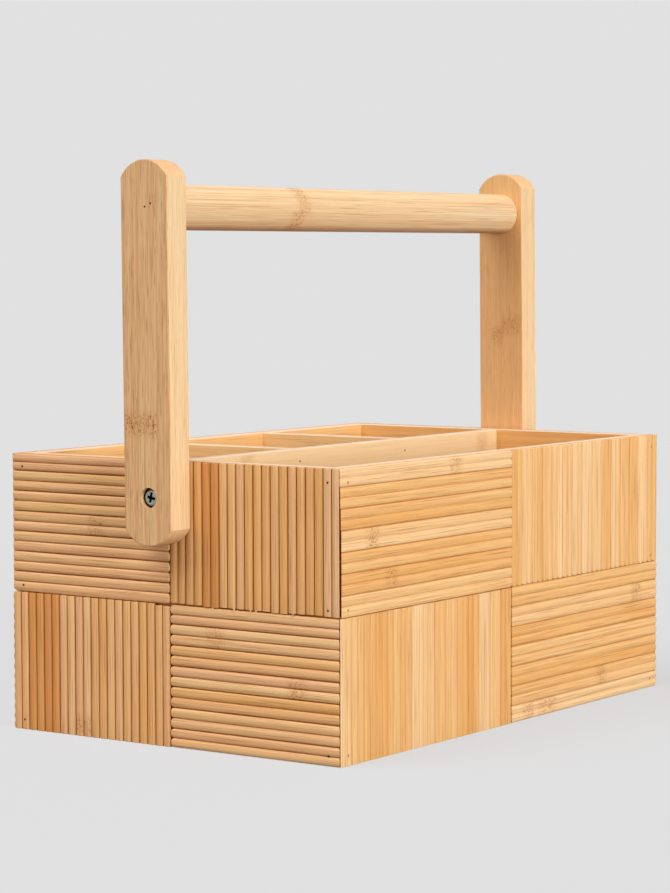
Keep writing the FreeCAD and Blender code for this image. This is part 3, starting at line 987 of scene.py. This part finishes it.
class Tile:
    """A quarter of one face: slats that all run level or all stand upright."""

    def __init__(self, face, row, side, sizes, fixings):
        self.face = face
        self.row = row
        self.side = side
        self.level = row * side < 0
        self.on_end = face.name.endswith("end")
        self.sizes = sizes
        self.fixings = fixings
        self.name = face.name + "_tile"
        self.name += "_upper" if row > 0 else "_lower"
        self.name += "_left" if side < 0 else "_right"

    def place(self, along, across, depth):
        """A slat's own place turned into the box's frame."""
        out, up = (along, across) if self.level else (across, along)
        point = (self.side * out, depth - self.face.crest, self.face.seam + self.row * up)
        return self.face.turn @ Vector(point)

    def hole_places(self):
        """Along, across and radius of each hole that meets this tile."""
        wanted = [(x, z, self.fixings.hole / 2) for x, z in nail_places(self.face, self.fixings)]
        if self.on_end:
            wanted.append((0.0, pivot_height(), self.fixings.pivot_hole / 2))
        found = []
        for x, z, radius in wanted:
            out = self.side * x
            up = self.row * (z - self.face.seam)
            if out > -radius and up > -radius:
                found.append((out, up, radius) if self.level else (up, out, radius))
        return found

    def build(self):
        """Lay the slats outward from the seam and add the splinters."""
        sizes = self.sizes
        chance = random.Random(self.name + str(sizes.seed))
        gap = self.face.seam_half
        out_extent = self.face.half
        up_extent = self.face.rim - self.face.seam if self.row > 0 else self.face.seam
        run, extent = (out_extent, up_extent) if self.level else (up_extent, out_extent)
        uneven = sizes.flute_tone if self.on_end or self.level else sizes.upright_flute_tone
        trimmed = sizes.first_trim if self.on_end and (not self.level or self.row < 0) else 0.0
        parts = []
        for index, (near, far) in enumerate(slat_edges(extent - gap, sizes, trimmed)):
            slat = Slat(self.name, index, near + gap, far + gap, sizes, chance, uneven)
            limit = None
            if far > extent - gap - sizes.glue_line:
                if not self.level:
                    limit = out_extent - CORNER_GAP - self.corner_opening(index)
                slat.far = min(slat.far, up_extent if self.level else limit)
            parts.append(self.slat_part(slat, gap, run, limit))
        slats = [part[0] for part in parts]
        for across, lean in SPLINTERS.get(self.name, ()):
            sliver = copy.copy(min(slats, key=lambda s: abs(s.near + s.far - 2 * across * MM)))
            sliver.tone = 0.0
            parts.append((sliver, *splinter_mesh(across * MM, lean * MM, sizes.splinter)))
        return self.joined(parts)

    def corner_opening(self, index):
        """How far a slat of the front stands off the joint at the left corner."""
        if self.face.name != "front" or self.side > 0:
            return 0.0
        opened = clamp((CLOSED_AT_SLAT - index) / OPENS_OVER_SLATS)
        return self.sizes.open_corner * (opened if self.level else OPEN_AT_UPRIGHTS)

    def corner_light(self, along, across, depth):
        """0 on the eased edge at a box corner, which is bare of painted shade, and 1 elsewhere."""
        if depth > SURFACE_DEPTH:
            return 1.0
        left = self.face.half - (along if self.level else across)
        return clamp((left - BARE_EDGE) / BARE_FADE)

    def slat_part(self, slat, gap, run, limit):
        """One slat with its holes: the slat, its points and its faces."""
        sizes = self.sizes
        end = run
        tip = sizes.butt_tip
        end_tip = sizes.butt_tip / 2
        eases = (sizes.butt_ease, sizes.trimmed_ease)
        if self.level:
            end = run - CORNER_GAP - self.corner_opening(slat.index)
            tip = sizes.fingertip if self.on_end else sizes.butt_tip
            end_tip = sizes.butt_tip / 2 if self.on_end and self.side > 0 else tip
            eases = (sizes.end_ease if self.on_end else sizes.butt_ease,) * 2
        start_tip = sizes.open_tip if self.name in OPEN_TILES else tip
        rings = slat.rings(gap, end, eases, (start_tip, end_tip), self.level, limit)
        mesh = new_mesh("slat", *slat_mesh(rings))
        cutters = [
            round_cutter(along, across, radius)
            for along, across, radius in self.hole_places()
            if slat.near - radius < across < slat.far + radius
        ]
        if cutters:
            mesh = drill(mesh, cutters)
        places = [tuple(v.co) for v in mesh.vertices]
        polygons = [tuple(p.vertices) for p in mesh.polygons]
        bpy.data.meshes.remove(mesh)
        return slat, places, polygons

    def groove_shade(self):
        """How dark the painted shade in this tile's grooves is."""
        sizes = self.sizes
        if self.on_end:
            return sizes.level_shade if self.level else sizes.end_shade
        return sizes.front_shade if self.level else sizes.upright_shade

    def groove_value(self, slat, along, across, depth):
        """0 on a crest, rising to the groove's painted shade as the slat falls away."""
        sizes = self.sizes
        start = UPRIGHT_END_SHADE_START if self.on_end and not self.level else SHADE_START
        below = depth - slat.sink - sizes.arch * start - sizes.valley * SHADE_MARGIN
        bare = self.corner_light(along, across, depth)
        return bare * self.groove_shade() * clamp(SHADE_RATE * below / sizes.valley)

    def joined(self, parts):
        """One mesh of all slats, with the attributes that the finish reads."""
        points = []
        faces = []
        grain = []
        values = {"tone": [], "rose": [], "valley": [], "node_offset": []}
        flip = self.row * self.side * (-1 if self.level else 1) < 0
        rose_share = self.sizes.end_rose if self.on_end else self.sizes.front_rose
        for slat, places, polygons in parts:
            first = len(points)
            shift = slat.grain_shift
            for along, across, depth in places:
                points.append(self.place(along, across, depth))
                grain += [along + shift, across + shift * SIDE_SHIFT, depth]
                tone = slat.tone + slat.flute_value(across, slat.flute_tones)
                offset = min((along - s for s in slat.joints), key=abs, default=FAR_FROM_JOINT)
                values["tone"].append(tone)
                values["rose"].append(rose_share * slat.flute_value(across, slat.flute_roses))
                # The valley attribute is painted shade for the grooves.
                values["valley"].append(self.groove_value(slat, along, across, depth))
                values["node_offset"].append(offset)
            for polygon in polygons:
                shifted = tuple(first + k for k in polygon)
                faces.append(shifted[::-1] if flip else shifted)
        mesh = new_mesh(self.name + "_slats", points, faces)
        mesh.attributes.new("grain", "FLOAT_VECTOR", "POINT").data.foreach_set("vector", grain)
        for name, numbers in values.items():
            mesh.attributes.new(name, "FLOAT", "POINT").data.foreach_set("value", numbers)
        shade_smooth(mesh, SHARP_SLAT_EDGE)
        return mesh


def add_piece(name, mesh, material, node):
    """Put one finished piece of the box into the scene in place of its plain node."""
    piece = put_in_scene(name, mesh)
    mesh.materials.append(material)
    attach(piece, "box")
    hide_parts(node)


def dress(material, slot_name, *nodes):
    """Give carried-over nodes their finish."""
    for node in nodes:
        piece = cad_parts[node]
        piece.data.materials.clear()
        piece.data.materials.append(material)


# ---- Operators ----

class CADDY_OT_slats(bpy.types.Operator):
    """Lay the fluted slats on all four faces"""

    bl_idname = "caddy.slats"
    bl_label = "Slats"

    def execute(self, context):
        scene = context.scene
        material = slat_bamboo(scene.caddy_colours)
        for face in FACES:
            for row in (1, -1):
                for side in (-1, 1):
                    tile = Tile(face, row, side, scene.caddy_slats, scene.caddy_fixings)
                    add_piece(tile.name + "_slats", tile.build(), material, tile.name)
        return {"FINISHED"}


class CADDY_OT_nails(bpy.types.Operator):
    """Drive the corner nails and the slat pins"""

    bl_idname = "caddy.nails"
    bl_label = "Nails"

    def execute(self, context):
        fixings = context.scene.caddy_fixings
        tints = context.scene.caddy_colours
        nail = brushed_metal("nail_steel", tints.nail, tints.nail_dull, 0.5, 0.55)
        pin = brushed_metal("pin_steel", tints.pin, tints.pin_dull, 0.6, 0.1)
        for name, on_ends, reach, material in (
            ("corner_nails", True, fixings.end_reach, nail),
            ("slat_pins", False, fixings.pin_reach, pin),
        ):
            points = []
            faces = []
            outline = nail_outline(fixings, reach)
            for face in FACES:
                if face.name.endswith("end") is on_ends:
                    for x, z in nail_places(face, fixings):
                        add_nail(points, faces, face, x, z, outline)
            mesh = new_mesh(name + "_driven", points, faces)
            shade_smooth(mesh, SHARP_NAIL_EDGE)
            add_piece(name + "_driven", mesh, material, name)
        dress(nail, "nail_steel", "divider_nails", "handle_bar_nails")
        return {"FINISHED"}


def nail_outline(fixings, reach):
    """Radius and depth of each ring: dished head, eased rim, shank and tapered point."""
    radius = fixings.nail / 2
    rings = [(part * radius, fixings.sunk + below) for part, below in NAIL_HEAD]
    return rings + [(radius, reach - NAIL_TAPER), (NAIL_TIP * radius, reach)]


def add_nail(points, faces, face, x, z, outline):
    """A nail turned on its axis, added to the points and faces of the others."""
    first = len(points)
    for radius, depth in outline:
        for out, up in circle(NAIL_SIDES, radius):
            points.append(face.turn @ Vector((x + out, depth - face.crest, z + up)))
    last = len(points) - NAIL_SIDES
    faces += tube_sides(NAIL_SIDES, len(outline), first)
    faces.append(tuple(range(first, first + NAIL_SIDES)))
    faces.append(tuple(range(last, last + NAIL_SIDES))[::-1])


class CADDY_OT_boards(bpy.types.Operator):
    """Finish the walls, the floor and the dividers"""

    bl_idname = "caddy.boards"
    bl_label = "Boards"

    def execute(self, context):
        tints = context.scene.caddy_colours
        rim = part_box("front_wall")[1].z
        for name, order, pale, warm, *nodes in (
            ("long", "XYZ", tints.board, tints.board_warm, "front_wall", "rear_wall"),
            # The end walls take a warmer, darker copy of the walls' bamboo: painted warm shade, as
            # their inner faces lie in shade.
            ("end", "YXZ", tints.board_warm, tints.orange, "left_end_wall", "right_end_wall"),
            ("cross", "YXZ", tints.cross, tints.board, "cross_divider_1", "cross_divider_2"),
        ):
            board = Board("board_bamboo_" + name, tints, order, WALL_STRIP, pale, warm)
            board.fibres(BOARD_FIBRES)
            # A painted highlight along each board's top edge.
            board.sanded_rim(rim)
            dress(board.finished(), "board_bamboo", *nodes)
        pale = tints.divider
        divider = Board("board_bamboo_divider", tints, "XYZ", DIVIDER_STRIP, pale, pale)
        divider.fibres(DIVIDER_FIBRES)
        divider.cane_joints(DIVIDER_JOINTS)
        # A painted highlight along its top edge.
        divider.sanded_rim(rim)
        dress(divider.finished(), "board_bamboo", "long_divider")
        pale, warm = tints.board, tints.board_warm
        floor = Board("board_bamboo_floor", tints, "XYZ", FLOOR_STRIP, pale, warm, 1)
        floor.fibres(BOARD_FIBRES)
        dress(floor.finished(), "board_bamboo", "floor_board")
        return {"FINISHED"}


def pivot_height():
    low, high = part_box("left_pivot_washer")
    return (low.z + high.z) / 2


class CADDY_OT_handle(bpy.types.Operator):
    """Finish the two arms and the round bar"""

    bl_idname = "caddy.handle"
    bl_label = "Handle"

    def execute(self, context):
        tints = context.scene.caddy_colours
        low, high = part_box("right_handle_arm")
        for side, face_tint, coarse, joints in (
            ("left", tints.handle_face, LEFT_FACE_FIBRES, LEFT_ARM_JOINTS),
            ("right", tints.far_face, RIGHT_FACE_FIBRES, RIGHT_ARM_JOINTS),
        ):
            name = "handle_bamboo_" + side
            arm = Board(name, tints, "ZXY", ARM_STRIP, tints.handle, tints.handle_warm, 1)
            arm.flat_faces(low.x + ARM_FACE_INSET, high.x - ARM_FACE_INSET, face_tint)
            arm.fibres(arm.flat * coarse + ARM_EDGE_FIBRES, ARM_FINER)
            arm.cane_joints(joints)
            arm.sawn_ends()
            # Painted shade deep in the screw's hole.
            arm.sunk_hole(SUNK_HOLE_RADIUS, pivot_height(), high.x - SUNK_HOLE_DEPTH)
            dress(arm.finished(), "handle_bamboo", side + "_handle_arm")
        bar = Board("handle_bamboo_bar", tints, "XYZ", BAR_STRIP, tints.bar, tints.bar_warm)
        bar.fibres(BAR_FIBRES, BAR_FINER)
        bar.cane_joints(BAR_JOINTS)
        # Painted shade along the bar's underside.
        bar.underside(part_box("handle_bar")[0].z)
        dress(bar.finished(), "handle_bamboo", "handle_bar")
        return {"FINISHED"}


class CADDY_OT_pivots(bpy.types.Operator):
    """Finish the pivot screws and washers"""

    bl_idname = "caddy.pivots"
    bl_label = "Pivots"

    def execute(self, context):
        tints = context.scene.caddy_colours
        head_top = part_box("right_pivot_screw")[1].x
        # Painted shade in the cross of the screw's head, deeper than its top.
        recess = (CROSS_RADIUS, pivot_height(), head_top - CROSS_DEPTH), tints.recess
        zinc = brushed_metal("zinc_screw", tints.zinc, tints.zinc_dull, 0.34, 0.8, recess)
        steel = brushed_metal("steel_washer", tints.steel, tints.steel_dull, 0.4, 0.9)
        dress(zinc, "zinc_screw", "left_pivot_screw", "right_pivot_screw")
        dress(steel, "steel_washer", "left_pivot_washer", "right_pivot_washer")
        return {"FINISHED"}


class CADDY_OT_stage(bpy.types.Operator):
    """Set the floor, the soft light and the camera"""

    bl_idname = "caddy.stage"
    bl_label = "Stage"

    def execute(self, context):
        sizes = context.scene.caddy_stage
        tints = context.scene.caddy_colours
        context.scene.view_settings.view_transform = "Standard"
        add_floor(sizes, tints)
        light_world(context.scene, sizes, tints)
        add_sun("window_light", sizes.window, sizes.window_from, sizes.window_spread)
        add_sun("overhead_light", sizes.overhead, sizes.overhead_from, sizes.overhead_spread)
        add_camera(context.scene, sizes)
        return {"FINISHED"}


FLOOR_STEPS = 8                       # squares along one side of the floor
SENSOR_WIDTH = 36.0                   # millimetres
NEAREST_SEEN = 0.05
FARTHEST_SEEN = 60.0


def seen_directly(shader):
    """1 for what the camera, a reflection or clear glass sees, 0 for scattered light."""
    kinds = (CAMERA_RAY, GLOSSY_RAY, CLEAR_RAY)
    camera, glossy, clear = (shader.node("ShaderNodeLightPath", {}, output=k) for k in kinds)
    return (camera + glossy + clear).ramp(0.0, 1.0)


def add_floor(sizes, tints):
    """A wide pale floor that turns into the backdrop with distance."""
    side = FLOOR_STEPS + 1
    lines = [sizes.floor_half * (2 * k / FLOOR_STEPS - 1) for k in range(side)]
    points = [(x, y, 0.0) for y in lines for x in lines]
    lows = [row * side + column for row in range(FLOOR_STEPS) for column in range(FLOOR_STEPS)]
    faces = [(low, low + 1, low + side + 1, low + side) for low in lows]
    mesh = new_mesh("studio_floor", points, faces)
    floor = put_in_scene("studio_floor", mesh)
    material, shader = new_material("studio_floor")
    diffuse = shader.node("ShaderNodeBsdfDiffuse", {}, color=sizes.floor_lit)
    even = shader.node("ShaderNodeEmission", {}, color=tints.floor, strength=1.0)
    place = shader.node("ShaderNodeTexCoord", {}, output=OWN_PLACE)
    far = shader.node("ShaderNodeVectorMath", {"operation": "LENGTH"}, place, output=0)
    fade = far.smooth(sizes.fade_start, sizes.fade_end)
    direct = seen_directly(shader)
    hidden = 1.0 - sizes.shadow * (1.0 - fade)
    seen = shader.node("ShaderNodeMixShader", {}, hidden, diffuse, even)
    thrown = shader.node("ShaderNodeBsdfDiffuse", {}, color=sizes.bounce)
    shader.surface(shader.node("ShaderNodeMixShader", {}, direct, thrown, seen))
    mesh.materials.append(material)


def light_world(scene, sizes, tints):
    """Even light all round, with a plain backdrop of the floor's own colour."""
    world = bpy.data.worlds.new("studio")
    scene.world = world
    shader = Shader(world)
    lit = shader.node("ShaderNodeBackground", {}, color=sizes.sky_tint, strength=sizes.sky)
    plain = shader.node("ShaderNodeBackground", {}, color=tints.floor, strength=1.0)
    mixed = shader.node("ShaderNodeMixShader", {}, seen_directly(shader), lit, plain)
    shader.node("ShaderNodeOutputWorld", {}, mixed)


def add_sun(name, strength, towards, spread):
    """A soft distant lamp. Towards points from the object to the lamp."""
    lamp = bpy.data.lights.new(name, "SUN")
    lamp.energy = strength
    lamp.angle = spread
    holder = put_in_scene(name, lamp)
    holder.rotation_euler = Vector(towards).to_track_quat("Z", "Y").to_euler()


def add_camera(scene, sizes):
    """The camera's axes follow from its turn, its downward look and the picture's turn."""
    forward = Vector((
        math.sin(sizes.yaw) * math.cos(sizes.pitch),
        math.cos(sizes.yaw) * math.cos(sizes.pitch),
        -math.sin(sizes.pitch),
    ))
    level_right = Vector((math.cos(sizes.yaw), -math.sin(sizes.yaw), 0.0))
    level_up = level_right.cross(forward)
    right = level_right * math.cos(sizes.roll) + level_up * math.sin(sizes.roll)
    up = level_up * math.cos(sizes.roll) - level_right * math.sin(sizes.roll)
    lens = bpy.data.cameras.new("camera")
    lens.lens = sizes.lens
    lens.sensor_width = SENSOR_WIDTH
    lens.clip_start = NEAREST_SEEN
    lens.clip_end = FARTHEST_SEEN
    camera = put_in_scene("camera", lens)
    turned = Matrix((right, up, -forward)).transposed().to_4x4()
    camera.matrix_world = Matrix.Translation(Vector(sizes.camera_at)) @ turned
    scene.camera = camera


class CADDY_PT_tools(bpy.types.Panel):
    """The caddy's makers, in the sidebar of the 3D view"""

    bl_idname = "CADDY_PT_tools"
    bl_label = "Bamboo Caddy"
    bl_space_type = "VIEW_3D"
    bl_region_type = "UI"
    bl_category = "Caddy"

    def draw(self, context):
        for maker in MAKERS:
            self.layout.operator(maker.bl_idname)


MAKERS = (
    CADDY_OT_slats,
    CADDY_OT_nails,
    CADDY_OT_boards,
    CADDY_OT_handle,
    CADDY_OT_pivots,
    CADDY_OT_stage,
)
GROUPS = (
    ("caddy_slats", CaddySlatSizes),
    ("caddy_fixings", CaddyFixingSizes),
    ("caddy_colours", CaddyColours),
    ("caddy_stage", CaddyStageSizes),
)


def register():
    for name, group in GROUPS:
        bpy.utils.register_class(group)
        setattr(bpy.types.Scene, name, bpy.props.PointerProperty(type=group))
    for maker in MAKERS:
        bpy.utils.register_class(maker)
    bpy.utils.register_class(CADDY_PT_tools)


def unregister():
    bpy.utils.unregister_class(CADDY_PT_tools)
    for maker in reversed(MAKERS):
        bpy.utils.unregister_class(maker)
    for name, group in reversed(GROUPS):
        delattr(bpy.types.Scene, name)
        bpy.utils.unregister_class(group)


def main():
    register()
    bpy.ops.caddy.slats()
    bpy.ops.caddy.nails()
    bpy.ops.caddy.boards()
    bpy.ops.caddy.handle()
    bpy.ops.caddy.pivots()
    bpy.ops.caddy.stage()


if __name__ == "__main__":
    main()
